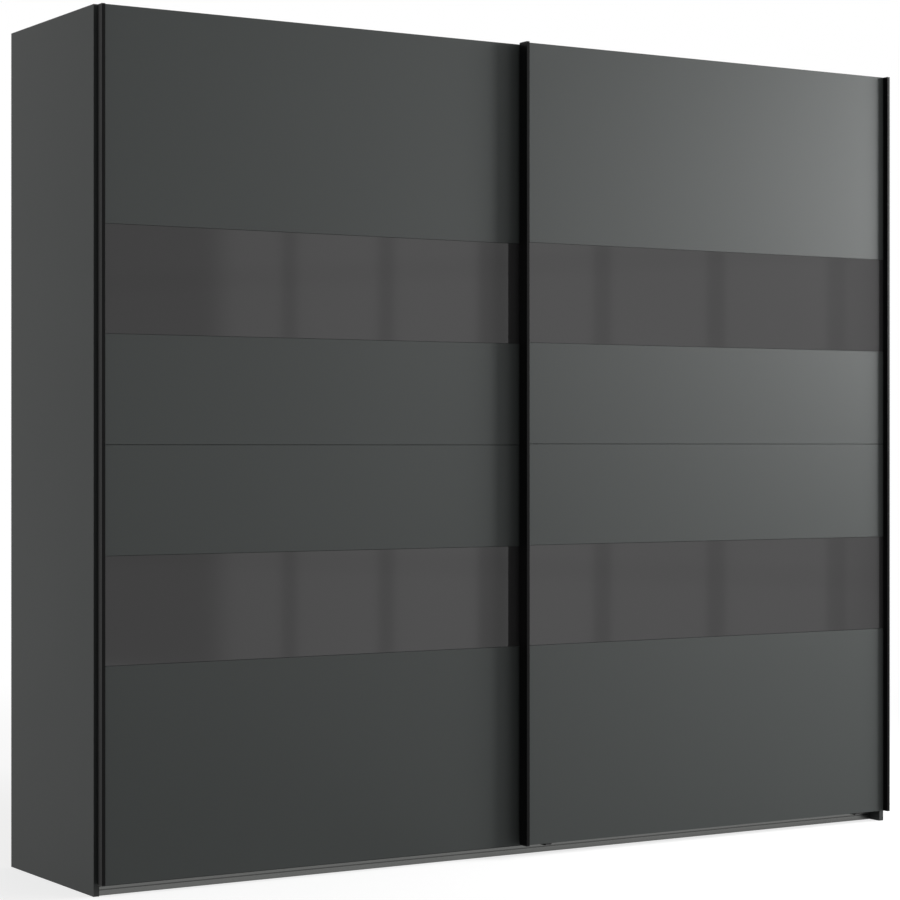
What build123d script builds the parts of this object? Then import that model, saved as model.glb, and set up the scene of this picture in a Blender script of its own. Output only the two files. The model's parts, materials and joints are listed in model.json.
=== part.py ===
# Sliding door wardrobe: a board carcass with two top-hung doors that pass each other.
# Millimetres, +Z up, the doors face -Y, the origin lies on the floor under the middle of the box.
# The left door runs behind, the right door in front of it.
import os

from build123d import *

# Carcass
overall_width = 2700.0
side_depth = 572.0
side_height = 2356.0
board = 16.0
top_recess = 62.0
plinth_height = 60.0
panel_setback = 4.0
back_thickness = 3.0
back_setback = 2.0
strip_flange = 14.0
strip_wall = 1.2
strip_clear = 0.2
back_joint = 2.0
cut_margin = 1.0

# Inside of the carcass
shelf_drop = 330.0
shelf_setback = 55.0
shelf_clear = 0.5
angle_leg = 22.0
angle_width = 26.0
angle_sheet = 2.0
angle_edge = 60.0
tube_height = 30.0
tube_width = 15.0
tube_wall = 1.2
tube_drop = 70.0
socket_plate = 2.5
socket_wall = 2.5
socket_depth = 12.0
socket_clear = 0.2
tube_end_gap = 0.5
support_width = 14.0
support_plate = 44.0
support_sheet = 2.5

# Doors
door_inset = 7.5
door_overlap = 65.0
grip_room = 40.0
door_board = 16.0
door_top_gap = 2.0
rear_door_bottom = 32.0
front_door_lift = 3.0
door_gap = 12.0
pass_gap = 5.0
strip_gap = 1.0
middle_gap = 1.6
glass_thickness = 4.0
glass_height = 291.5
middle_band = 292.5
seam = 1.2

# Upright handle bars: the front door's noses reach further than the rear door's
bar_width = 10.0
rear_nose = 9.0
front_nose = 20.0
bar_lip = 3.0
bar_wall = 1.5
nose_round = 1.0
tongue_thickness = 2.0
tongue_reach = 8.0
tongue_clear = 0.15
cap_thickness = 2.0
cap_plug = 12.0
cap_clear = 0.2

# Strap over the joint of the two board halves
strap_height = 60.0
strap_sheet = 2.5
strap_inset = 60.0

# Top track and rollers
track_base = 3.0
track_setback = 4.0
track_lip = 3.0
track_lip_height = 5.0
rib_thickness = 3.0
rib_height = 9.0
rear_rib = 18.0
front_rib = 48.0
track_margin = 12.0
roller_root = 13.0
roller_flange = 16.0
roller_width = 9.0
groove_clear = 0.5
roller_gap = 0.3
roller_side_gap = 0.5
axle_radius = 4.0
axle_clear = 0.05
axle_head_radius = 7.0
axle_head = 2.0
hanger_sheet = 3.0
hanger_width = 70.0
hanger_inset = 120.0
hanger_plate_height = 90.0
hanger_skirt = 10.0
bend_radius = 4.5
rear_strap_gap = 2.5
over_gap = 2.6
stop_length = 20.0
stop_height = 26.0
stop_overhang = 4.0
stop_gap = 0.5
stop_slot_clear = 0.2

# Bottom guide rail and gliders
rail_recess = 9.0
rail_wall = 3.0
rail_base = 3.0
rail_height = 24.0
channel_width = 12.0
line_bottom = 14.0
line_height = 3.0
line_depth = 2.0
guide_sheet = 3.0
guide_width = 20.0
guide_inset = 100.0
guide_plate_top = 60.0
guide_bend = 4.5
rail_over_gap = 2.0
arm_pass_gap = 4.0
glider_clear = 0.5
glider_floor_gap = 3.0
glider_length = 44.0

# Wall brackets behind the top edge
bracket_leg = 40.0
bracket_width = 32.0
bracket_sheet = 2.5
bracket_place = 900.0
bracket_hole_radius = 3.0
bracket_hole_height = 24.0

# Depth positions, from the front doors back to the wall
front_stack = door_gap + 2 * door_board + rear_nose + front_nose + pass_gap
overall_depth = side_depth + front_stack
side_front = front_stack - overall_depth / 2
side_back = overall_depth / 2
rear_door_back = side_front - door_gap
front_door_back = rear_door_back - door_board - rear_nose - pass_gap
back_face = side_back - back_setback - back_thickness
panel_front = side_front + panel_setback
tube_y = (side_front + back_face) / 2

# Heights
top_face = side_height - top_recess
bottom_face = plinth_height + board
rear_door_top = side_height - door_top_gap
door_height = rear_door_top - rear_door_bottom
front_door_bottom = rear_door_bottom + front_door_lift
rib_top = top_face + track_base + rib_height
roller_height = rib_top + roller_gap + roller_root
shelf_face = top_face - board - shelf_drop
tube_centre = shelf_face - board - tube_drop

# Widths
half_width = overall_width / 2
inner_half = half_width - board
door_width = half_width - door_inset + door_overlap / 2
door_travel = door_width - door_overlap - grip_room
left_door_edge = -half_width + door_inset
right_door_edge = half_width - door_inset - door_width

# Guide rail, front to back
rail_front = side_front + rail_recess
front_channel = rail_front + rail_wall
rear_channel = front_channel + channel_width + rail_wall
rail_back = rear_channel + channel_width + rail_wall
plinth_back = rail_back + board


def block(x0, x1, y0, y1, z0, z1):
    middle = ((x0 + x1) / 2, (y0 + y1) / 2, (z0 + z1) / 2)
    return Pos(*middle) * Box(x1 - x0, y1 - y0, z1 - z0)


def along_x(section, x0, x1):
    # A section drawn in Y and Z, carried from x0 to x1.
    return Pos(x0, 0, 0) * extrude(Plane.YZ * section, x1 - x0)


def rectangle(u0, u1, v0, v1):
    return Pos((u0 + u1) / 2, (v0 + v1) / 2) * Rectangle(u1 - u0, v1 - v0)


def save(name, *solids):
    shape = solids[0] if len(solids) == 1 else Compound(children=list(solids))
    export_step(shape, os.path.join("parts", name + ".step"))


def shelf_angles():
    # Two screwed angles, front and back, under each end of both shelves.
    walls = [(-inner_half, 1), (-board / 2, -1), (board / 2, 1), (inner_half, -1)]
    front = side_front + shelf_setback + angle_edge
    back = back_face - angle_edge
    return [shelf_angle(wall, way, y) for wall, way in walls for y in (front, back)]


def shelf_angle(wall, way, y):
    # One leg lies on the wall, the other carries the shelf: way points from the wall into the bay.
    top = shelf_face - board
    reach = sorted((wall, wall + way * angle_leg))
    skin = sorted((wall, wall + way * angle_sheet))
    y0 = y - angle_width / 2
    y1 = y + angle_width / 2
    return block(*reach, y0, y1, top - angle_sheet, top) + block(*skin, y0, y1, top - angle_leg, top)


def side_panel(side):
    ends = sorted((side * inner_half, side * half_width))
    return block(*ends, side_front, side_back, 0, side_height)


def closing_strip():
    # A strip on the right side panel's front edge, which fills the room behind the front door.
    front = front_door_back + bar_lip + strip_gap
    return block(inner_half, half_width, front, side_front, 0, side_height)


def partition():
    # The front foot is cut away for the guide rail and the plinth.
    wall = block(-board / 2, board / 2, panel_front, back_face, 0, top_face)
    foot = block(-board, board, panel_front - cut_margin, plinth_back, -cut_margin, plinth_height)
    return wall - foot


def bay(side):
    # The clear width of one bay, between the partition and a side panel.
    ends = sorted((side * board / 2, side * inner_half))
    return ends[0], ends[1]


def bay_panel(side, z0, front):
    x0, x1 = bay(side)
    return block(x0, x1, front, back_face, z0, z0 + board)


def shelf(side):
    x0, x1 = bay(side)
    front = side_front + shelf_setback
    back = back_face - strip_clear - strip_wall - shelf_clear
    return block(x0 + shelf_clear, x1 - shelf_clear, front, back, shelf_face - board, shelf_face)


def oval(grow):
    # The upright oval of the clothes rail, grown all round.
    return SlotOverall(tube_height + 2 * grow, tube_width + 2 * grow, rotation=90)


def open_cup(wall):
    # The oval with a wall round it, cut off where its straight sides end, so the rail drops in.
    lid = rectangle(-tube_width, tube_width, (tube_height - tube_width) / 2, tube_height)
    return oval(socket_clear + wall) - lid


def tube_place():
    return Pos(tube_y, tube_centre)


def clothes_rail(side):
    x0, x1 = bay(side)
    gap = socket_plate + tube_end_gap
    return along_x(tube_place() * (oval(0) - oval(-tube_wall)), x0 + gap, x1 - gap)


def socket(wall, way):
    # A wall plate with a cup that is open at the top.
    outer = open_cup(socket_wall)
    face = wall + way * socket_plate
    ends = sorted((wall, face))
    cup = sorted((face, face + way * socket_depth))
    plate = along_x(tube_place() * outer, *ends)
    return plate + along_x(tube_place() * (outer - oval(socket_clear)), *cup)


def rail_support(side):
    # A hook under the shelf: its stem runs down behind the clothes rail and ends in a cup under it.
    x0, x1 = bay(side)
    middle = (x0 + x1) / 2
    half = support_width / 2
    under_shelf = shelf_face - board
    stem_front = tube_y + tube_width / 2 + socket_clear
    stem_back = stem_front + support_sheet
    cup = tube_place() * (open_cup(support_sheet) - oval(socket_clear))
    stem = rectangle(stem_front, stem_back, tube_centre, under_shelf)
    plate = rectangle(stem_back - support_plate, stem_back, under_shelf - support_sheet, under_shelf)
    return along_x(cup + stem + plate, middle - half, middle + half)


def back_edges():
    # The upright edges of the four back panels: sides, bay middles and the partition.
    bay_middle = (board / 2 + inner_half) / 2
    return [-inner_half, -bay_middle, 0, bay_middle, inner_half]


def back_panel(index):
    edges = back_edges()
    x0 = edges[index] + (back_joint / 2 if index > 0 else 0)
    x1 = edges[index + 1] - (back_joint / 2 if index < len(edges) - 2 else 0)
    return block(x0, x1, back_face, back_face + back_thickness, plinth_height, top_face)


def back_strip(x):
    # An H-section that takes the edges of two back panels.
    slot = back_thickness + 2 * strip_clear
    web = back_joint - 2 * strip_clear
    middle = back_face + back_thickness / 2
    section = Pos(x, middle) * Rectangle(2 * strip_flange, slot + 2 * strip_wall)
    section -= Pos(x, middle) * Rectangle(2 * strip_flange, slot)
    section += Pos(x, middle) * Rectangle(web, slot)
    return Pos(0, 0, bottom_face) * extrude(section, top_face - board - bottom_face)


def top_track():
    # One extrusion on the top panels: two running ribs and a lip along each long edge.
    front = side_front + track_setback
    back = side_front + front_rib + track_margin
    section = rectangle(front, back, top_face, top_face + track_base)
    for rib in (rear_rib, front_rib):
        y = side_front + rib
        section += rectangle(y - rib_thickness / 2, y + rib_thickness / 2, top_face, rib_top)
    lip_top = top_face + track_lip_height
    section += rectangle(front, front + track_lip, top_face, lip_top)
    section += rectangle(back - track_lip, back, top_face, lip_top)
    return along_x(section, -inner_half, inner_half)


def hanger_arm(rib):
    # The Y span of a hanger's axle plate, just in front of its roller.
    back = side_front + rib - roller_width / 2 - roller_side_gap
    return back - hanger_sheet, back


def hanger_places(edge):
    return [edge + hanger_inset, edge + door_width - hanger_inset]


def guide_places(edge):
    return [edge + guide_inset, edge + door_width - guide_inset]


def track_stop(x0, rib):
    # A block that sits astride one rib and meets the hanger at the end of its travel.
    low = top_face + track_base
    y0 = hanger_arm(rib)[0]
    y1 = side_front + rib + rib_thickness / 2 + stop_overhang
    stop = block(x0, x0 + stop_length, y0, y1, low, low + stop_height)
    half_slot = rib_thickness / 2 + stop_slot_clear
    rib_y = side_front + rib
    slot = block(
        x0 - cut_margin,
        x0 + stop_length + cut_margin,
        rib_y - half_slot,
        rib_y + half_slot,
        low - cut_margin,
        rib_top + stop_slot_clear,
    )
    return stop - slot


def track_stops(edge, rib, way):
    # Stops at both ends of the travel: way is the direction in which the door opens.
    first, last = hanger_places(edge)
    reach = hanger_width / 2 + stop_gap
    low_travel = 0 if way > 0 else door_travel
    high_travel = door_travel if way > 0 else 0
    low_stop = first - reach - low_travel - stop_length
    return [track_stop(low_stop, rib), track_stop(last + reach + high_travel, rib)]


def guide_rail():
    # One extrusion on the floor with two channels and a drawn line along its face.
    section = rectangle(rail_front, rail_back, 0, rail_height)
    for channel in (front_channel, rear_channel):
        section -= rectangle(channel, channel + channel_width, rail_base, rail_height + cut_margin)
    line_back = rail_front + line_depth
    line_top = line_bottom + line_height
    section -= rectangle(rail_front - cut_margin, line_back, line_bottom, line_top)
    return along_x(section, -inner_half, inner_half)


def wall_bracket(x):
    # An angle on the top panel with a hole for the wall screw.
    half = bracket_width / 2
    section = rectangle(side_back - bracket_leg, side_back, top_face, top_face + bracket_sheet)
    section += rectangle(side_back - bracket_sheet, side_back, top_face, top_face + bracket_leg)
    angle = along_x(section, x - half, x + half)
    hole = Pos(x, side_back, top_face + bracket_hole_height) * Rot(90, 0, 0)
    return angle - hole * Cylinder(bracket_hole_radius, 4 * bracket_sheet)


def door_rows(bottom):
    # The heights of the two board halves and of the two glass strips.
    middle = bottom + door_height / 2
    near = middle_band
    far = middle_band + glass_height
    halves = [(bottom, middle - middle_gap / 2), (middle + middle_gap / 2, bottom + door_height)]
    strips = [(middle - far, middle - near), (middle + near, middle + far)]
    return halves, strips


def door_board_half(edge, back, z0, z1, strip):
    # A board with a routed band for the glass and a groove in both upright edges.
    x0 = edge + bar_width
    x1 = edge + door_width - bar_width
    front = back - door_board
    half = block(x0, x1, front, back, z0, z1)
    half -= block(x0 - cut_margin, x1 + cut_margin, front - cut_margin, front + glass_thickness, *strip)
    middle = (tongue_seat(back)[0] + tongue_seat(back)[1]) / 2
    groove = tongue_thickness / 2 + tongue_clear
    depth = tongue_reach + tongue_clear
    for u0, u1 in ((x0 - cut_margin, x0 + depth), (x1 - depth, x1 + cut_margin)):
        half -= block(u0, u1, middle - groove, middle + groove, z0 - cut_margin, z1 + cut_margin)
    return half


def tongue_seat(back):
    # The tongue lies in the middle of the board that stays behind the glass.
    middle = back - (door_board - glass_thickness) / 2
    return middle - tongue_thickness / 2, middle + tongue_thickness / 2


def glass_strip(edge, back, strip):
    front = back - door_board
    x0 = edge + bar_width
    x1 = edge + door_width - bar_width
    return block(x0, x1, front, front + glass_thickness, strip[0] + seam, strip[1] - seam)


def bar_hollow(edge, back, nose, grow):
    # The hollow of a handle bar in plan.
    x0 = edge + bar_wall + grow
    x1 = edge + bar_width - bar_wall - grow
    y0 = back - door_board - nose + bar_wall + grow
    return rectangle(x0, x1, y0, back + bar_lip - bar_wall - grow)


def bar_outline(edge, back, nose):
    # In front of the board the bar has a nose, behind it a lip.
    front = back - door_board - nose
    outline = rectangle(edge, edge + bar_width, front, back + bar_lip)
    corners = outline.vertices().group_by(Axis.Y)[0]
    return fillet(corners, nose_round)


def handle_bar(edge, back, bottom, nose, way):
    # A hollow bar with a tongue in the board's groove: way points from the bar to the board.
    section = bar_outline(edge, back, nose)
    inner = edge + bar_width if way > 0 else edge
    ends = sorted((inner, inner + way * tongue_reach))
    section += rectangle(*ends, *tongue_seat(back))
    section -= bar_hollow(edge, back, nose, 0)
    length = door_height - 2 * cap_thickness
    return Pos(0, 0, bottom + cap_thickness) * extrude(section, length)


def bar_caps(edge, back, bottom, nose):
    # A plate with a plug for each open end of a bar.
    plate = extrude(bar_outline(edge, back, nose), cap_thickness)
    plug = extrude(bar_hollow(edge, back, nose, cap_clear), cap_plug)
    top = bottom + door_height
    low_cap = Pos(0, 0, bottom) * plate + Pos(0, 0, bottom + cap_thickness) * plug
    high_cap = Pos(0, 0, top - cap_thickness) * plate + Pos(0, 0, top - cap_thickness - cap_plug) * plug
    return [low_cap, high_cap]


def joint_strap(edge, back, bottom):
    # A flat steel strap behind the joint of the two board halves.
    middle = bottom + door_height / 2
    x0 = edge + bar_width + strap_inset
    x1 = edge + door_width - bar_width - strap_inset
    return block(x0, x1, back, back + strap_sheet, middle - strap_height / 2, middle + strap_height / 2)


def bent_sheet(points, radius, sheet, x, width):
    # A bent sheet: points run along the middle of its thickness in Y and Z.
    path = FilletPolyline(*points, radius=radius)
    return along_x(trace(path, sheet), x - width / 2, x + width / 2)


def hanger(x, back, top, rib, strap_bottom):
    # Door plate, strap over the track and axle plate, bent from one sheet.
    half = hanger_sheet / 2
    plate_y = back + half
    arm_y = hanger_arm(rib)[0] + half
    strap_z = strap_bottom + half
    points = [
        (plate_y, top - hanger_plate_height),
        (plate_y, strap_z),
        (arm_y, strap_z),
        (arm_y, roller_height - hanger_skirt),
    ]
    sheet = bent_sheet(points, bend_radius, hanger_sheet, x, hanger_width)
    hole = Pos(x, arm_y, roller_height) * Rot(90, 0, 0)
    return sheet - hole * Cylinder(axle_radius, 2 * hanger_sheet)


def turned(points, x, y):
    # A body turned about a line along Y at the roller height: points are (radius, distance along Y).
    return Pos(x, y, roller_height) * revolve(make_face(Polyline(*points, close=True)), Axis.Y)


def axle(x, rib):
    # A pin that fills its hole in the hanger, with a head that keeps the roller on.
    arm_front, arm_back = hanger_arm(rib)
    run = arm_back - arm_front + roller_width + 2 * roller_side_gap
    points = [
        (0, 0),
        (axle_radius, 0),
        (axle_radius, run),
        (axle_head_radius, run),
        (axle_head_radius, run + axle_head),
        (0, run + axle_head),
    ]
    return turned(points, x, arm_front)


def roller(x, rib):
    # A grooved roller that straddles its rib between two flanges.
    half = roller_width / 2
    groove = rib_thickness / 2 + groove_clear
    bore = axle_radius + axle_clear
    points = [
        (bore, -half),
        (roller_flange, -half),
        (roller_flange, -groove),
        (roller_root, -groove),
        (roller_root, groove),
        (roller_flange, groove),
        (roller_flange, half),
        (bore, half),
    ]
    return turned(points, x, side_front + rib)


def guide_bracket(x, back, bottom, arm_low, channel):
    # A plate behind the door with an arm back over the guide rail.
    half = guide_sheet / 2
    points = [
        (back + half, bottom + guide_plate_top),
        (back + half, arm_low + half),
        (channel + channel_width - glider_clear, arm_low + half),
    ]
    return bent_sheet(points, guide_bend, guide_sheet, x, guide_width)


def glider(x, arm_low, channel):
    half = glider_length / 2
    low = rail_base + glider_floor_gap
    y0 = channel + glider_clear
    y1 = channel + channel_width - glider_clear
    return block(x - half, x + half, y0, y1, low, arm_low)


def save_door(name, edge, back, bottom, nose, rib, strap_bottom, arm_low, channel):
    halves, strips = door_rows(bottom)
    for row, half, strip in zip(("lower", "upper"), halves, strips):
        save(f"{name}_{row}_board", door_board_half(edge, back, *half, strip))
        save(f"{name}_{row}_glass", glass_strip(edge, back, strip))
    bars = (("left", edge, 1), ("right", edge + door_width - bar_width, -1))
    caps = []
    for side, bar_edge, way in bars:
        save(f"{name}_{side}_bar", handle_bar(bar_edge, back, bottom, nose, way))
        caps += bar_caps(bar_edge, back, bottom, nose)
    save(f"{name}_bar_caps", *caps)
    save(f"{name}_joint_strap", joint_strap(edge, back, bottom))
    places = hanger_places(edge)
    top = bottom + door_height
    save(f"{name}_hangers", *[hanger(x, back, top, rib, strap_bottom) for x in places])
    save(f"{name}_axles", *[axle(x, rib) for x in places])
    for number, x in enumerate(places, 1):
        save(f"{name}_roller_{number}", roller(x, rib))
    guides = guide_places(edge)
    save(f"{name}_guides", *[guide_bracket(x, back, bottom, arm_low, channel) for x in guides])
    save(f"{name}_gliders", *[glider(x, arm_low, channel) for x in guides])


def save_carcass():
    save("left_side", side_panel(-1))
    save("right_side", side_panel(1))
    save("right_closing_strip", closing_strip())
    save("partition", partition())
    save("plinth", block(-inner_half, inner_half, rail_back, plinth_back, 0, plinth_height))
    save("shelf_angles", *shelf_angles())
    sockets = []
    for name, side in (("left", -1), ("right", 1)):
        save(f"{name}_bottom_panel", bay_panel(side, plinth_height, panel_front))
        save(f"{name}_top_panel", bay_panel(side, top_face - board, panel_front))
        save(f"{name}_shelf", shelf(side))
        save(f"{name}_clothes_rail", clothes_rail(side))
        x0, x1 = bay(side)
        sockets += [socket(x0, 1), socket(x1, -1)]
    save("clothes_rail_sockets", *sockets)
    save("clothes_rail_supports", rail_support(-1), rail_support(1))
    edges = back_edges()
    for index in range(len(edges) - 1):
        save(f"back_panel_{index + 1}", back_panel(index))
    save("back_strips", back_strip(edges[1]), back_strip(edges[3]))
    save("top_track", top_track())
    stops = track_stops(left_door_edge, rear_rib, 1) + track_stops(right_door_edge, front_rib, -1)
    save("track_stops", *stops)
    save("guide_rail", guide_rail())
    save("wall_brackets", wall_bracket(-bracket_place), wall_bracket(bracket_place))


os.makedirs("parts", exist_ok=True)
save_carcass()
rear_strap = roller_height + roller_flange + rear_strap_gap
front_strap = rear_door_top + over_gap
front_arm = rail_height + rail_over_gap
rear_arm = front_arm + guide_sheet + arm_pass_gap
save_door(
    "left_door",
    left_door_edge,
    rear_door_back,
    rear_door_bottom,
    rear_nose,
    rear_rib,
    rear_strap,
    rear_arm,
    rear_channel,
)
save_door(
    "right_door",
    right_door_edge,
    front_door_back,
    front_door_bottom,
    front_nose,
    front_rib,
    front_strap,
    front_arm,
    front_channel,
)
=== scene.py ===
import json
import math

import bpy
import numpy as np
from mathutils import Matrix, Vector


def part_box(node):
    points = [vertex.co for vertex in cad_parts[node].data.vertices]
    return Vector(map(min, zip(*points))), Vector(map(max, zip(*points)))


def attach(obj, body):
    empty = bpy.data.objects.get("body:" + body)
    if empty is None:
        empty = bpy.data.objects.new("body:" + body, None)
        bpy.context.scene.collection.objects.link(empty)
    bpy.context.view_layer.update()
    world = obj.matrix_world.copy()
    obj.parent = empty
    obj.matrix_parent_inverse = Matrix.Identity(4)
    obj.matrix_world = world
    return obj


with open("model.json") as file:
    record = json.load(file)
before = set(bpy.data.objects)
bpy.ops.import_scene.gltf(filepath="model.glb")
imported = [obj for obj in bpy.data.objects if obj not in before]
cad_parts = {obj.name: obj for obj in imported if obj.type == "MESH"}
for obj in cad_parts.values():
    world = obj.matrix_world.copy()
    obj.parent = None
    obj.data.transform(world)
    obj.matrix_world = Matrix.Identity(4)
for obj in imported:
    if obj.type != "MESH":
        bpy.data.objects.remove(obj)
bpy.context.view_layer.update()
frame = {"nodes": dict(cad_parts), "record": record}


# small node helpers

def place(tree, kind, inputs=None, **settings):
    node = tree.nodes.new(kind)
    for name, value in settings.items():
        setattr(node, name, value)
    for name, value in (inputs or {}).items():
        if isinstance(value, bpy.types.NodeSocket):
            tree.links.new(value, node.inputs[name])
        else:
            node.inputs[name].default_value = value
    return node


def mixColours(tree, factor, first, second):
    # sockets 6 and 7 are the mix node's two colours, output 2 its colour
    node = place(tree, "ShaderNodeMix", {0: factor, 6: first, 7: second}, data_type="RGBA")
    return node.outputs[2]


def spread(tree, value, low, high):
    # a value from 0 to 1 becomes a value from low to high
    node = place(tree, "ShaderNodeMapRange", {"Value": value, "To Min": low, "To Max": high})
    return node.outputs["Result"]


def sums(tree, operation, first, second):
    return place(tree, "ShaderNodeMath", {0: first, 1: second}, operation=operation).outputs[0]


def shareOut(tree, first, second, share):
    # a share of the first value, and the rest of the second
    return sums(tree, "ADD", spread(tree, first, 0.0, share), spread(tree, second, 0.0, 1.0 - share))


def vectorSums(tree, operation, first, second):
    return place(tree, "ShaderNodeVectorMath", {0: first, 1: second}, operation=operation)


def noise(tree, vector, scale, detail, roughness=0.5):
    inputs = {"Vector": vector, "Scale": scale, "Detail": detail, "Roughness": roughness}
    return place(tree, "ShaderNodeTexNoise", inputs).outputs["Fac"]


def newGroup(name, inputs, outputs):
    group = bpy.data.node_groups.new(name, "ShaderNodeTree")
    for title, kind, value in inputs:
        socket = group.interface.new_socket(title, in_out="INPUT", socket_type=kind)
        if value is not None:
            socket.default_value = value
    for title in outputs:
        group.interface.new_socket(title, in_out="OUTPUT", socket_type="NodeSocketFloat")
    source = group.nodes.new("NodeGroupInput")
    sink = group.nodes.new("NodeGroupOutput")
    return group, source.outputs, sink.inputs


def useGroup(tree, group, inputs):
    return place(tree, "ShaderNodeGroup", inputs, node_tree=group).outputs


# shared effects

pearlLook = {
    "fineDetail": 3.0,
    "fineRoughness": 0.6,
    "cloudDetail": 4.0,
    "cloudRoughness": 0.55,
    "cloudInTone": 0.75,
    "cloudInGloss": 0.5,
}


def makePearlGrain():
    # pressed pearl texture of melamine: fine noise and shallow cells, with a slow cloud for the tone
    look = pearlLook
    group, source, sink = newGroup(
        "pearlGrain",
        [
            ("Vector", "NodeSocketVector", None),
            ("Grain Scale", "NodeSocketFloat", 900.0),
            ("Cloud Scale", "NodeSocketFloat", 1.4),
        ],
        ["Height", "Tone", "Gloss"],
    )
    point = source["Vector"]
    fine = noise(group, point, source["Grain Scale"], look["fineDetail"], look["fineRoughness"])
    cloud = noise(group, point, source["Cloud Scale"], look["cloudDetail"], look["cloudRoughness"])
    pits = {"Vector": point, "Scale": source["Grain Scale"]}
    cells = place(group, "ShaderNodeTexVoronoi", pits).outputs["Distance"]
    group.links.new(sums(group, "ADD", fine, cells), sink["Height"])
    group.links.new(shareOut(group, cloud, fine, look["cloudInTone"]), sink["Tone"])
    group.links.new(shareOut(group, cloud, cells, look["cloudInGloss"]), sink["Gloss"])
    return group


drawnLook = {"lineDetail": 5.0, "lineRoughness": 0.65, "patchScale": 7.0, "patchDetail": 3.0}


def makeDrawnLines():
    # lines that drawing or brushing leaves: noise stretched along one way, and slow patches
    look = drawnLook
    group, source, sink = newGroup(
        "drawnLines",
        [("Vector", "NodeSocketVector", None), ("Stretch", "NodeSocketVector", (1.0, 1.0, 1.0))],
        ["Line", "Patch"],
    )
    stretched = vectorSums(group, "MULTIPLY", source["Vector"], source["Stretch"]).outputs[0]
    line = noise(group, stretched, 1.0, look["lineDetail"], look["lineRoughness"])
    patch = noise(group, source["Vector"], look["patchScale"], look["patchDetail"])
    group.links.new(line, sink["Line"])
    group.links.new(patch, sink["Patch"])
    return group


# how squarely a face has to look along the axis, or up, as the cosine of its lean
faceLook = {"alongAxis": 0.5, "up": 0.7}


def makeFaceEdge():
    # Face Axis stands square on a board's broad faces: Edge is 1 on the narrow edges and 0 on those
    # faces, Front is 1 on the face that looks along the axis, and Up is 1 on what looks up
    look = faceLook
    group, source, sink = newGroup(
        "faceEdge", [("Face Axis", "NodeSocketVector", (0.0, 1.0, 0.0))], ["Edge", "Front", "Up"]
    )
    normal = place(group, "ShaderNodeTexCoord").outputs["Normal"]
    along = vectorSums(group, "DOT_PRODUCT", normal, source["Face Axis"]).outputs["Value"]
    upward = place(group, "ShaderNodeSeparateXYZ", {0: normal}).outputs["Z"]
    facing = sums(group, "ABSOLUTE", along, 0.0)
    group.links.new(sums(group, "LESS_THAN", facing, look["alongAxis"]), sink["Edge"])
    group.links.new(sums(group, "GREATER_THAN", along, look["alongAxis"]), sink["Front"])
    group.links.new(sums(group, "GREATER_THAN", upward, look["up"]), sink["Up"])
    return group


dustLook = {
    "patchScale": 5.0,
    "patchDetail": 6.0,
    "patchRoughness": 0.7,
    "speckScale": 420.0,
    "speckDetail": 2.0,
}


def makeDust():
    # thin settled dust: two noises multiplied, so it lies in faint patches of specks
    look = dustLook
    group, source, sink = newGroup(
        "dust", [("Vector", "NodeSocketVector", None), ("Amount", "NodeSocketFloat", 0.2)], ["Mask"]
    )
    point = source["Vector"]
    patches = noise(group, point, look["patchScale"], look["patchDetail"], look["patchRoughness"])
    specks = noise(group, point, look["speckScale"], look["speckDetail"])
    both = sums(group, "MULTIPLY", patches, specks)
    group.links.new(sums(group, "MULTIPLY", both, source["Amount"]), sink["Mask"])
    return group


pearlGrain = makePearlGrain()
drawnLines = makeDrawnLines()
faceEdge = makeFaceEdge()
dust = makeDust()
print("shared effects ready")


# finishes

def newFinish(name, constants):
    # constants are the same all over, so they stay on the shader's own sockets
    material = bpy.data.materials.new(name)
    material.use_nodes = True
    tree = material.node_tree
    shader = tree.nodes["Principled BSDF"]
    for socket, value in constants.items():
        shader.inputs[socket].default_value = value
    objectPoint = place(tree, "ShaderNodeTexCoord").outputs["Object"]
    return material, tree, shader, objectPoint


def addBump(tree, shader, height, distance, strength):
    bump = place(tree, "ShaderNodeBump", {"Height": height, "Distance": distance, "Strength": strength})
    tree.links.new(bump.outputs["Normal"], shader.inputs["Normal"])


def useGrain(tree, point, look):
    scales = {"Grain Scale": look["grainScale"], "Cloud Scale": look["cloudScale"]}
    return useGroup(tree, pearlGrain, {"Vector": point, **scales})


boardLook = {
    "dark": (0.0445, 0.0491, 0.0479, 1.0),
    "light": (0.0514, 0.0565, 0.0552, 1.0),
    "edging": (0.0400, 0.0432, 0.0420, 1.0),
    "dustColour": (0.30, 0.29, 0.28, 1.0),
    "dustAmount": 0.10,
    "roughness": (0.46, 0.56),
    "edgingRoughness": 0.40,
    "specular": 0.22,
    "grainScale": 850.0,
    "cloudScale": 1.3,
    "grainDepth": 0.00006,
    "grainStrength": 0.35,
}


def boardFinish(name, faceAxis):
    look = boardLook
    material, tree, shader, point = newFinish(name, {"Specular IOR Level": look["specular"]})
    grain = useGrain(tree, point, look)
    faces = useGroup(tree, faceEdge, {"Face Axis": faceAxis})
    settled = useGroup(tree, dust, {"Vector": point, "Amount": look["dustAmount"]})
    board = mixColours(tree, grain["Tone"], look["dark"], look["light"])
    edged = mixColours(tree, faces["Edge"], board, look["edging"])
    dusted = sums(tree, "MULTIPLY", faces["Up"], settled["Mask"])
    tree.links.new(mixColours(tree, dusted, edged, look["dustColour"]), shader.inputs["Base Color"])
    rough = spread(tree, grain["Gloss"], *look["roughness"])
    lowered = sums(tree, "MULTIPLY", faces["Edge"], look["edgingRoughness"] - look["roughness"][1])
    tree.links.new(sums(tree, "ADD", rough, lowered), shader.inputs["Roughness"])
    addBump(tree, shader, grain["Height"], look["grainDepth"], look["grainStrength"])
    return material


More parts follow.
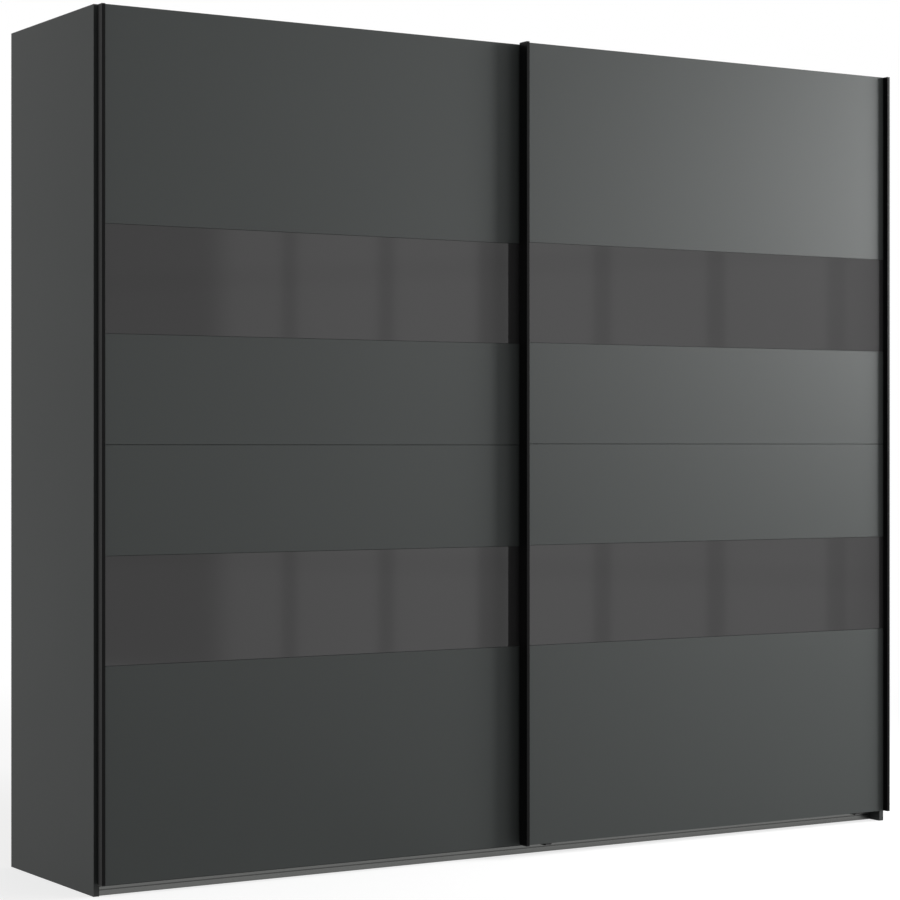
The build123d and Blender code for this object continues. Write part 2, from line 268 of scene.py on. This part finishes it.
hardboardLook = {
    "printDark": (0.050, 0.054, 0.052, 1.0),
    "printLight": (0.062, 0.066, 0.064, 1.0),
    "fibreDark": (0.155, 0.096, 0.052, 1.0),
    "fibreLight": (0.245, 0.158, 0.092, 1.0),
    "specular": 0.25,
    "roughness": (0.55, 0.75),
    "grainScale": 420.0,
    "cloudScale": 5.0,
    "grainDepth": 0.0001,
    "grainStrength": 0.5,
}


def hardboardFinish(name):
    # printed on the face that looks into the wardrobe, bare brown fibre on the wall side
    look = hardboardLook
    material, tree, shader, point = newFinish(name, {"Specular IOR Level": look["specular"]})
    grain = useGrain(tree, point, look)
    faces = useGroup(tree, faceEdge, {"Face Axis": (0.0, 1.0, 0.0)})
    printed = mixColours(tree, grain["Tone"], look["printDark"], look["printLight"])
    fibre = mixColours(tree, grain["Gloss"], look["fibreDark"], look["fibreLight"])
    bare = sums(tree, "MAXIMUM", faces["Front"], faces["Edge"])
    tree.links.new(mixColours(tree, bare, printed, fibre), shader.inputs["Base Color"])
    tree.links.new(spread(tree, grain["Gloss"], *look["roughness"]), shader.inputs["Roughness"])
    addBump(tree, shader, grain["Height"], look["grainDepth"], look["grainStrength"])
    return material


glassLook = {
    "dark": (0.0335, 0.0329, 0.0335, 1.0),
    "light": (0.0385, 0.0378, 0.0385, 1.0),
    "edge": (0.010, 0.020, 0.017, 1.0),
    "roughness": (0.040, 0.056),
    "ior": 1.52,
    "waveScale": 2.2,
    "waveDetail": 2.0,
    "waveDepth": 0.00002,
    "waveStrength": 0.3,
}


def glassFinish(name):
    # glass with paint behind it: dark grey under a clear gloss, green where the cut edge shows
    look = glassLook
    material, tree, shader, point = newFinish(name, {"IOR": look["ior"]})
    wave = noise(tree, point, look["waveScale"], look["waveDetail"])
    faces = useGroup(tree, faceEdge, {"Face Axis": (0.0, 1.0, 0.0)})
    paint = mixColours(tree, wave, look["dark"], look["light"])
    tree.links.new(mixColours(tree, faces["Edge"], paint, look["edge"]), shader.inputs["Base Color"])
    tree.links.new(spread(tree, wave, *look["roughness"]), shader.inputs["Roughness"])
    addBump(tree, shader, wave, look["waveDepth"], look["waveStrength"])
    return material


metalLooks = {
    "black_aluminium": {
        "dark": (0.0036, 0.0036, 0.0038, 1.0),
        "light": (0.0060, 0.0060, 0.0062, 1.0),
        "roughness": (0.26, 0.36),
        "stretch": (2600.0, 2600.0, 6.0),
        "depth": 0.00002,
        "constants": {"Specular IOR Level": 0.08},
    },
    "aluminium": {
        "dark": (0.119, 0.121, 0.118, 1.0),
        "light": (0.163, 0.166, 0.162, 1.0),
        "roughness": (0.22, 0.34),
        "stretch": (5.0, 2200.0, 2200.0),
        "depth": 0.00002,
        "constants": {"Metallic": 1.0},
        # painted shade: the groove's height band and the darker colour under it stand in for shade in
        # the rail's groove
        "groove": (0.0138, 0.0172),
        "grooveColour": (0.082, 0.083, 0.081, 1.0),
    },
    "steel": {
        "dark": (0.40, 0.41, 0.43, 1.0),
        "light": (0.58, 0.59, 0.61, 1.0),
        "roughness": (0.26, 0.42),
        "stretch": (160.0, 160.0, 160.0),
        "depth": 0.00001,
        "constants": {"Metallic": 1.0},
    },
    "black_steel": {
        "dark": (0.0120, 0.0120, 0.0120, 1.0),
        "light": (0.0170, 0.0170, 0.0170, 1.0),
        "roughness": (0.38, 0.50),
        "stretch": (750.0, 750.0, 750.0),
        "depth": 0.00005,
        "constants": {"Specular IOR Level": 0.35},
    },
}


# the share of the drawn lines in a metal's tone, the rest being patches, and how strongly they stand out
lineLook = {"share": 0.6, "strength": 0.4}


def metalFinish(name):
    look = metalLooks[name]
    material, tree, shader, point = newFinish(name, look["constants"])
    lines = useGroup(tree, drawnLines, {"Vector": point, "Stretch": look["stretch"]})
    tone = shareOut(tree, lines["Line"], lines["Patch"], lineLook["share"])
    colour = mixColours(tree, tone, look["dark"], look["light"])
    if "groove" in look:
        # painted shade: the drawn groove along the guide rail is coloured darker, standing in for the
        # shade that falls in it
        up = place(tree, "ShaderNodeSeparateXYZ", {0: point}).outputs["Z"]
        above, below = (sums(tree, "GREATER_THAN", up, level) for level in look["groove"])
        colour = mixColours(tree, sums(tree, "SUBTRACT", above, below), colour, look["grooveColour"])
    tree.links.new(colour, shader.inputs["Base Color"])
    tree.links.new(spread(tree, tone, *look["roughness"]), shader.inputs["Roughness"])
    addBump(tree, shader, lines["Line"], look["depth"], lineLook["strength"])
    return material


plasticLook = {
    "dark": (0.0100, 0.0100, 0.0102, 1.0),
    "light": (0.0160, 0.0160, 0.0163, 1.0),
    "specular": 0.35,
    "roughness": (0.42, 0.55),
    "grainScale": 1100.0,
    "cloudScale": 20.0,
    "grainDepth": 0.00008,
    "grainStrength": 0.5,
}


def plasticFinish(name):
    # moulded plastic with a fine spark-eroded texture
    look = plasticLook
    material, tree, shader, point = newFinish(name, {"Specular IOR Level": look["specular"]})
    grain = useGrain(tree, point, look)
    moulded = mixColours(tree, grain["Tone"], look["dark"], look["light"])
    tree.links.new(moulded, shader.inputs["Base Color"])
    tree.links.new(spread(tree, grain["Gloss"], *look["roughness"]), shader.inputs["Roughness"])
    addBump(tree, shader, grain["Height"], look["grainDepth"], look["grainStrength"])
    return material


boardFinishes = {
    "X": boardFinish("graphiteBoardUpright", (1.0, 0.0, 0.0)),
    "Y": boardFinish("graphiteBoardFront", (0.0, 1.0, 0.0)),
    "Z": boardFinish("graphiteBoardLevel", (0.0, 0.0, 1.0)),
}
finishes = {name: metalFinish(name) for name in metalLooks}
finishes["back_board"] = hardboardFinish("hardboard")
finishes["dark_glass"] = glassFinish("darkGlass")
finishes["black_plastic"] = plasticFinish("blackPlastic")
print("finishes ready:", len(finishes) + len(boardFinishes))


def thinAxis(node):
    # a board's broad faces stand square to its thinnest way
    low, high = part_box(node)
    size = np.array(high) - np.array(low)
    return "XYZ"[int(size.argmin())]


def dressNode(node, slot):
    material = boardFinishes[thinAxis(node)] if slot == "graphite_board" else finishes[slot]
    mesh = frame["nodes"][node].data
    mesh.materials.clear()
    mesh.materials.append(material)


for part in frame["record"]["subparts"]:
    dressNode(part["node"], part["material_slot"])
print("nodes dressed")


# small fittings: a profile of rings, from foot to crown, repeated at its spots

turnSource = np.random.default_rng(7)

# crossTaper is how far a cross narrows to its floor, domeEnd where a dome's last ring lies,
# and sharpFrom the angle from which an edge stays sharp
headLook = {"crossTaper": 0.75, "domeEnd": 0.44 * math.pi, "sharpFrom": math.radians(38.0)}


def makeRings(angles, steps):
    # a step is a distance from the middle, one or one for each angle, and a height
    wide = np.array([np.broadcast_to(distance, angles.shape) for distance, height in steps])
    high = np.broadcast_to(np.array([height for distance, height in steps])[:, None], wide.shape)
    return np.stack([wide * np.cos(angles), wide * np.sin(angles), high], axis=-1)


def screwRings(look):
    # a cross is reach / cos(a) from its middle at the arms' ends and half / sin(a) along their flanks
    tip = math.atan2(look["crossHalf"], look["crossReach"])
    quarter = np.array([0.0, tip, math.pi / 4, math.pi / 2 - tip])
    angles = (quarter + np.arange(4)[:, None] * math.pi / 2).ravel()
    folded = np.tile([0.0, tip, math.pi / 4, tip], 4)
    flank = look["crossHalf"] / math.sin(math.pi / 4)
    cross = np.where(folded > tip, flank, look["crossReach"] / np.cos(folded))
    head = [(look["radius"] * share, look["height"] * rise) for share, rise in look["profile"]]
    floor = look["height"] - look["crossDepth"]
    recess = [(cross, look["height"]), (headLook["crossTaper"] * cross, floor)]
    return makeRings(angles, [(look["radius"], -look["sunk"]), *head, *recess])


def domeRings(look):
    # distance = radius cos(t), height = rise sin(t), for t from 0 nearly to a quarter turn
    angles = np.arange(look["sides"]) * 2 * math.pi / look["sides"]
    bends = np.linspace(0.0, headLook["domeEnd"], look["bends"])
    dome = [(look["radius"] * math.cos(bend), look["height"] * math.sin(bend)) for bend in bends]
    return makeRings(angles, [(look["radius"], -look["sunk"]), *dome])


def repeatRings(name, rings, spots, facings, body, slot):
    # point = spot + ring point in the spot's own frame, which is turned at random about its facing
    spots = np.array(spots, dtype=float)
    outward = np.broadcast_to(np.array(facings, dtype=float), spots.shape)
    level = np.abs(outward[:, 2:]) > 0.5
    upward = np.where(level, [0.0, 1.0, 0.0], [0.0, 0.0, 1.0])
    sideways = np.cross(upward, outward)
    turns = turnSource.uniform(0.0, math.pi, (len(spots), 1))
    across = np.cos(turns) * sideways + np.sin(turns) * upward
    along = np.cos(turns) * upward - np.sin(turns) * sideways
    frames = np.stack([across, along, outward], axis=1)
    points = spots[:, None, None, :] + np.einsum("rak,mkx->mrax", rings, frames)
    # each ring is joined to the next, and the first and last are closed by a cap
    steps, around = rings.shape[:2]
    index = np.arange(steps * around).reshape(steps, around)
    after = np.roll(index, -1, axis=1)
    walls = np.stack([index[:-1], after[:-1], after[1:], index[1:]], axis=-1).reshape(-1, 4)
    starts = np.arange(len(spots))[:, None] * steps * around
    quads = (walls + starts[:, :, None]).reshape(-1, 4)
    caps = np.concatenate([index[0, ::-1] + starts, index[-1] + starts])
    mesh = bpy.data.meshes.new(name)
    mesh.from_pydata(points.reshape(-1, 3).tolist(), [], quads.tolist() + caps.tolist())
    mesh.shade_smooth()
    mesh.set_sharp_from_angle(angle=headLook["sharpFrom"])
    mesh.materials.append(finishes[slot])
    piece = bpy.data.objects.new(name, mesh)
    bpy.context.scene.collection.objects.link(piece)
    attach(piece, body)


def cornersOf(node):
    low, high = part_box(node)
    return np.array(low), np.array(high)


def gridSpots(*ways):
    # every combination of the values along X, Y and Z
    return np.stack(np.meshgrid(*ways, indexing="ij"), axis=-1).reshape(-1, 3)


# countersunk screws stay nearly flush, so the doors can pass each other
flushScrew = {
    "radius": 0.0044,
    "height": 0.0004,
    "sunk": 0.0004,
    "profile": [(1.0, 0.4), (0.90, 1.0)],
    "crossReach": 0.0024,
    "crossHalf": 0.0007,
    "crossDepth": 0.00035,
}
panScrew = {
    "radius": 0.0042,
    "height": 0.0022,
    "sunk": 0.0004,
    "profile": [(1.0, 0.30), (0.95, 0.62), (0.80, 0.90), (0.64, 1.0)],
    "crossReach": 0.0022,
    "crossHalf": 0.0006,
    "crossDepth": 0.0015,
}
rivetHead = {"radius": 0.0065, "height": 0.0016, "sunk": 0.0004, "sides": 24, "bends": 5}
nailHead = {"radius": 0.0022, "height": 0.0008, "sunk": 0.0004, "sides": 8, "bends": 2}
camDisc = {
    "radius": 0.0075,
    "height": 0.0006,
    "sunk": 0.0004,
    "profile": [(1.0, 0.7), (0.96, 1.0)],
    "crossReach": 0.0045,
    "crossHalf": 0.0010,
    "crossDepth": 0.0005,
}

doorFittings = {
    "hangerSheet": 0.003,
    "hangerScrewsAside": 0.024,
    "hangerScrewsUp": (0.020, 0.055),
    "strapScrews": 9,
    "strapEdge": 0.012,
    "strapEnd": 0.030,
    "guideSheet": 0.003,
    "guideMiddle": 0.010,
    "guideScrewsDown": (0.012, 0.034),
}


def fitDoor(door, title):
    look = doorFittings
    rollers = [cornersOf(f"{door}_roller_{number}") for number in (1, 2)]
    middles = np.array([(low + high) / 2 for low, high in rollers])
    plate = cornersOf(f"{door}_hangers")[0]
    aside = np.array([-1.0, 1.0]) * look["hangerScrewsAside"]
    across = (middles[:, :1] + aside).ravel()
    rows = plate[2] + np.array(look["hangerScrewsUp"])
    spots = gridSpots(across, [plate[1] + look["hangerSheet"]], rows)
    repeatRings(title + "HangerScrews", screwRings(flushScrew), spots, (0, 1, 0), door, "steel")

    low, high = cornersOf(f"{door}_joint_strap")
    across = np.linspace(low[0] + look["strapEnd"], high[0] - look["strapEnd"], look["strapScrews"])
    rows = [low[2] + look["strapEdge"], high[2] - look["strapEdge"]]
    spots = gridSpots(across, [high[1]], rows)
    repeatRings(title + "StrapScrews", screwRings(flushScrew), spots, (0, 1, 0), door, "black_steel")

    low, high = cornersOf(f"{door}_guides")
    across = [low[0] + look["guideMiddle"], high[0] - look["guideMiddle"]]
    rows = high[2] - np.array(look["guideScrewsDown"])
    spots = gridSpots(across, [low[1] + look["guideSheet"]], rows)
    repeatRings(title + "GuideScrews", screwRings(flushScrew), spots, (0, 1, 0), door, "steel")

    armFront = cornersOf(f"{door}_axles")[0][1]
    spots = np.stack([middles[:, 0], np.full(2, armFront), middles[:, 2]], axis=-1)
    repeatRings(title + "Rivets", domeRings(rivetHead), spots, (0, -1, 0), door, "steel")


for doorName, doorTitle in (("left_door", "leftDoor"), ("right_door", "rightDoor")):
    fitDoor(doorName, doorTitle)
print("door fittings made")

carcassFittings = {
    "trackBase": 0.003,
    "trackScrews": 9,
    "trackEnd": 0.10,
    "bracketSheet": 0.0025,
    "bracketMiddle": 0.016,
    "bracketScrewsAside": 0.008,
    "bracketEdge": 0.012,
    "angleSheet": 0.002,
    "angleMiddle": 0.013,
    "angleScrew": 0.014,
    "supportSheet": 0.0025,
    "supportMiddle": 0.007,
    "supportEdge": 0.012,
    "camEdge": 0.024,
    "camPlaces": (0.16, 0.50, 0.84),
    "nailPitch": 0.11,
    "nailEnd": 0.022,
    "nailUprightEnd": 0.066,
    "nailEdge": 0.008,
    "nailsFromMiddle": 0.005,
}


def fitTrack():
    look = carcassFittings
    low, high = cornersOf("top_track")
    across = np.linspace(low[0] + look["trackEnd"], high[0] - look["trackEnd"], look["trackScrews"])
    spots = gridSpots(across, [(low[1] + high[1]) / 2], [low[2] + look["trackBase"]])
    repeatRings("trackScrews", screwRings(panScrew), spots, (0, 0, 1), "carcass", "steel")


def fitBrackets():
    look = carcassFittings
    low, high = cornersOf("wall_brackets")
    middles = np.array([[low[0] + look["bracketMiddle"]], [high[0] - look["bracketMiddle"]]])
    across = (middles + np.array([-1.0, 1.0]) * look["bracketScrewsAside"]).ravel()
    spots = gridSpots(across, [low[1] + look["bracketEdge"]], [low[2] + look["bracketSheet"]])
    repeatRings("bracketScrews", screwRings(panScrew), spots, (0, 0, 1), "carcass", "steel")


def fitShelfAngles():
    # one screw into the wall and one up into the shelf on each angle
    look = carcassFittings
    low, high = cornersOf("shelf_angles")
    middleLow, middleHigh = cornersOf("partition")
    rows = [low[1] + look["angleMiddle"], high[1] - look["angleMiddle"]]
    spots, facings = [], []
    for wall, way in ((low[0], 1), (middleLow[0], -1), (middleHigh[0], 1), (high[0], -1)):
        for row in rows:
            spots.append((wall + way * look["angleSheet"], row, high[2] - look["angleScrew"]))
            facings.append((way, 0, 0))
            spots.append((wall + way * look["angleScrew"], row, high[2] - look["angleSheet"]))
            facings.append((0, 0, -1))
    repeatRings("shelfAngleScrews", screwRings(panScrew), spots, facings, "carcass", "steel")


def fitRailSupports():
    look = carcassFittings
    low, high = cornersOf("clothes_rail_supports")
    across = [low[0] + look["supportMiddle"], high[0] - look["supportMiddle"]]
    spots = gridSpots(across, [low[1] + look["supportEdge"]], [high[2] - look["supportSheet"]])
    repeatRings("railSupportScrews", screwRings(panScrew), spots, (0, 0, -1), "carcass", "steel")


def fitTopPanels():
    # turning discs that draw the top panels to the upright boards
    look = carcassFittings
    spots = []
    for node in ("left_top_panel", "right_top_panel"):
        low, high = cornersOf(node)
        deep = low[1] + (high[1] - low[1]) * np.array(look["camPlaces"])
        spots.append(gridSpots([low[0] + look["camEdge"], high[0] - look["camEdge"]], deep, [high[2]]))
    repeatRings("camDiscs", screwRings(camDisc), np.concatenate(spots), (0, 0, 1), "carcass", "steel")


def nailLine(start, stop):
    look = carcassFittings
    count = round((stop - start) / look["nailPitch"]) + 1
    return np.linspace(start, stop, count)


def fitBack():
    # nails into the rear edges of the top panels, the bottom panels and the partition
    look = carcassFittings
    spots = []
    for number in (1, 2, 3, 4):
        low, high = cornersOf(f"back_panel_{number}")
        across = nailLine(low[0] + look["nailEnd"], high[0] - look["nailEnd"])
        rows = [low[2] + look["nailEdge"], high[2] - look["nailEdge"]]
        spots.append(gridSpots(across, [high[1]], rows))
    aside = [-look["nailsFromMiddle"], look["nailsFromMiddle"]]
    rows = nailLine(low[2] + look["nailUprightEnd"], high[2] - look["nailUprightEnd"])
    spots.append(gridSpots(aside, [high[1]], rows))
    repeatRings("backNails", domeRings(nailHead), np.concatenate(spots), (0, 1, 0), "carcass", "steel")


fitTrack()
fitBrackets()
fitShelfAngles()
fitRailSupports()
fitTopPanels()
fitBack()
print("carcass fittings made")


# stage: floor, background and lights

stageLook = {
    "floorSize": 60.0,
    "floorSeen": (0.44, 0.44, 0.44, 1.0),
    "floorGlow": 0.72,
    "floorBounce": (0.26, 0.26, 0.257, 1.0),
    "fadeStart": 2.6,
    "fadeEnd": 6.0,
    "ambient": 0.376,
}


def seenDirectly(tree):
    # 1 for rays from the camera, from gloss and through glass
    path = place(tree, "ShaderNodeLightPath").outputs
    first = sums(tree, "MAXIMUM", path["Is Camera Ray"], path["Is Glossy Ray"])
    return sums(tree, "MAXIMUM", first, path["Is Transmission Ray"])


def newStage(name, corners):
    mesh = bpy.data.meshes.new(name)
    mesh.from_pydata(corners, [], [(0, 1, 2, 3)])
    sheet = bpy.data.objects.new(name, mesh)
    bpy.context.scene.collection.objects.link(sheet)
    material = bpy.data.materials.new(name)
    material.use_nodes = True
    material.node_tree.nodes.clear()
    mesh.materials.append(material)
    return sheet, material.node_tree


def makeFloor():
    # white where it is seen, as glow plus a share of the light that falls there, so the shadow shows
    look = stageLook
    half = look["floorSize"] / 2
    corners = [(-half, -half, 0.0), (half, -half, 0.0), (half, half, 0.0), (-half, half, 0.0)]
    tree = newStage("floor", corners)[1]
    seen = seenDirectly(tree)
    colour = mixColours(tree, seen, look["floorBounce"], look["floorSeen"])
    lit = place(tree, "ShaderNodeBsdfDiffuse", {"Color": colour})
    strength = sums(tree, "MULTIPLY", seen, look["floorGlow"])
    glow = place(tree, "ShaderNodeEmission", {"Strength": strength})
    near = place(tree, "ShaderNodeAddShader", {0: lit.outputs[0], 1: glow.outputs[0]})
    far = place(tree, "ShaderNodeEmission", {"Strength": spread(tree, seen, look["ambient"], 1.0)})
    point = place(tree, "ShaderNodeTexCoord").outputs["Object"]
    away = vectorSums(tree, "LENGTH", point, (0.0, 0.0, 0.0)).outputs["Value"]
    reach = {"Value": away, "From Min": look["fadeStart"], "From Max": look["fadeEnd"]}
    fade = place(tree, "ShaderNodeMapRange", reach, interpolation_type="SMOOTHSTEP").outputs["Result"]
    both = place(tree, "ShaderNodeMixShader", {0: fade, 1: near.outputs[0], 2: far.outputs[0]})
    place(tree, "ShaderNodeOutputMaterial", {"Surface": both.outputs[0]})


def makeWorld():
    world = bpy.data.worlds.new("studio")
    bpy.context.scene.world = world
    world.use_nodes = True
    tree = world.node_tree
    tree.nodes.clear()
    strength = spread(tree, seenDirectly(tree), stageLook["ambient"], 1.0)
    white = {"Color": (1.0, 1.0, 1.0, 1.0), "Strength": strength}
    background = place(tree, "ShaderNodeBackground", white)
    place(tree, "ShaderNodeOutputWorld", {"Surface": background.outputs[0]})


# tall window panes at the right, which the dark glass mirrors
windowLook = {
    "middle": (2.89, -4.49),
    "along": math.radians(64.0),
    "pitch": 0.608,
    "firstBar": -1.545,
    "barWidth": 0.095,
    "reach": (-3.00, 2.70),
    "sills": (0.59, 2.08),
    "sillWidth": 0.10,
    "height": (0.0, 3.6),
    "slopes": [
        {"From Min": -1.80, "From Max": -0.80, "To Min": 1.12, "To Max": 1.22},
        {"From Min": -0.50, "From Max": 1.40, "To Min": 1.21, "To Max": 0.97},
        {"From Min": 1.30, "From Max": 1.65, "To Min": 1.20, "To Max": 0.66},
    ],
    "brightest": 1.22,
    "barShare": 0.71,
    "sillShare": 0.94,
    "posts": [
        {"middle": -2.600, "half": 0.480, "soft": 0.25, "strength": 0.70},
        {"middle": -0.295, "half": 0.075, "soft": 0.03, "strength": 0.74},
    ],
}


def makeWindows():
    # one upright sheet: light where a point lies between the bars, dimmer on the bars and the sills
    look = windowLook
    way = np.array([math.cos(look["along"]), math.sin(look["along"])])
    start, stop = (np.array(look["middle"]) + reach * way for reach in look["reach"])
    low, high = look["height"]
    sheet, tree = newStage("windowSheet", [(*stop, low), (*start, low), (*start, high), (*stop, high)])
    sheet.visible_camera = False
    sheet.visible_shadow = False
    point = place(tree, "ShaderNodeTexCoord").outputs["Object"]
    middle = vectorSums(tree, "SUBTRACT", point, (*look["middle"], 0.0)).outputs[0]
    along = vectorSums(tree, "DOT_PRODUCT", middle, (*way, 0.0)).outputs["Value"]
    pane = look["brightest"]
    for slope in look["slopes"]:
        bound = place(tree, "ShaderNodeMapRange", {"Value": along, **slope}).outputs["Result"]
        pane = sums(tree, "MINIMUM", pane, bound)
    # pingpong gives the distance to the nearest bar
    fromBar = sums(tree, "PINGPONG", sums(tree, "SUBTRACT", along, look["firstBar"]), look["pitch"] / 2)
    onPane = sums(tree, "GREATER_THAN", fromBar, look["barWidth"] / 2)
    light = sums(tree, "MULTIPLY", pane, spread(tree, onPane, look["barShare"], 1.0))
    for post in look["posts"]:
        away = sums(tree, "ABSOLUTE", sums(tree, "SUBTRACT", along, post["middle"]), 0.0)
        cover = {"Value": away, "From Min": post["half"] + post["soft"], "From Max": post["half"]}
        smooth = place(tree, "ShaderNodeMapRange", cover, interpolation_type="SMOOTHSTEP")
        dimmed = sums(tree, "MINIMUM", light, post["strength"])
        mix = {0: smooth.outputs["Result"], 2: light, 3: dimmed}
        light = place(tree, "ShaderNodeMix", mix).outputs[0]
    up = place(tree, "ShaderNodeSeparateXYZ", {0: point}).outputs["Z"]
    for sill in look["sills"]:
        away = sums(tree, "ABSOLUTE", sums(tree, "SUBTRACT", up, sill), 0.0)
        clear = sums(tree, "GREATER_THAN", away, look["sillWidth"] / 2)
        light = sums(tree, "MULTIPLY", light, spread(tree, clear, look["sillShare"], 1.0))
    emission = place(tree, "ShaderNodeEmission", {"Color": (1.0, 1.0, 1.0, 1.0), "Strength": light})
    place(tree, "ShaderNodeOutputMaterial", {"Surface": emission.outputs[0]})


lampLooks = {
    "farBox": {"at": (7.0, -3.4, 3.0), "aim": (0.0, -0.3, 1.4), "size": (2.4, 2.4), "power": 125.0},
    "tallBox": {"at": (5.2, -3.6, 2.2), "aim": (0.6, -0.3, 1.5), "size": (1.0, 1.6), "power": 141.0},
    "rightBox": {"at": (3.0, -1.3, 2.2), "aim": (0.6, -0.3, 1.7), "size": (1.2, 1.6), "power": 57.0},
    "frontBox": {"at": (3.2, -4.5, 3.0), "aim": (0.3, -0.3, 1.4), "size": (1.8, 1.8), "power": 25.0},
}


def makeLamp(name, look):
    lamp = bpy.data.lights.new(name, "AREA")
    lamp.shape = "RECTANGLE"
    lamp.size, lamp.size_y = look["size"]
    lamp.energy = look["power"]
    lampObject = bpy.data.objects.new(name, lamp)
    bpy.context.scene.collection.objects.link(lampObject)
    lampObject.location = look["at"]
    way = Vector(look["aim"]) - Vector(look["at"])
    lampObject.rotation_euler = way.to_track_quat("-Z", "Y").to_euler()
    lampObject.visible_camera = False


makeFloor()
makeWorld()
makeWindows()
for lampName, lampLook in lampLooks.items():
    makeLamp(lampName, lampLook)
print("stage ready")


# camera, fitted to the photograph's edges
cameraLook = {
    "at": (-4.1033, -6.4940, 1.18857),
    "turn": 31.70,
    "lens": 102.54,
    "sensor": 36.0,
    "clipEnd": 200.0,
    "horizonRow": 446.43,
    "imageSize": 900.0,
}


def makeCamera():
    look = cameraLook
    data = bpy.data.cameras.new("camera")
    data.sensor_width = look["sensor"]
    data.lens = look["lens"]
    data.shift_y = (look["horizonRow"] - look["imageSize"] / 2) / look["imageSize"]
    data.clip_end = look["clipEnd"]
    camera = bpy.data.objects.new("camera", data)
    bpy.context.scene.collection.objects.link(camera)
    camera.location = look["at"]
    camera.rotation_euler = (math.pi / 2, 0.0, -math.radians(look["turn"]))
    bpy.context.scene.camera = camera


makeCamera()
bpy.context.scene.view_settings.view_transform = "Standard"
print("camera ready")
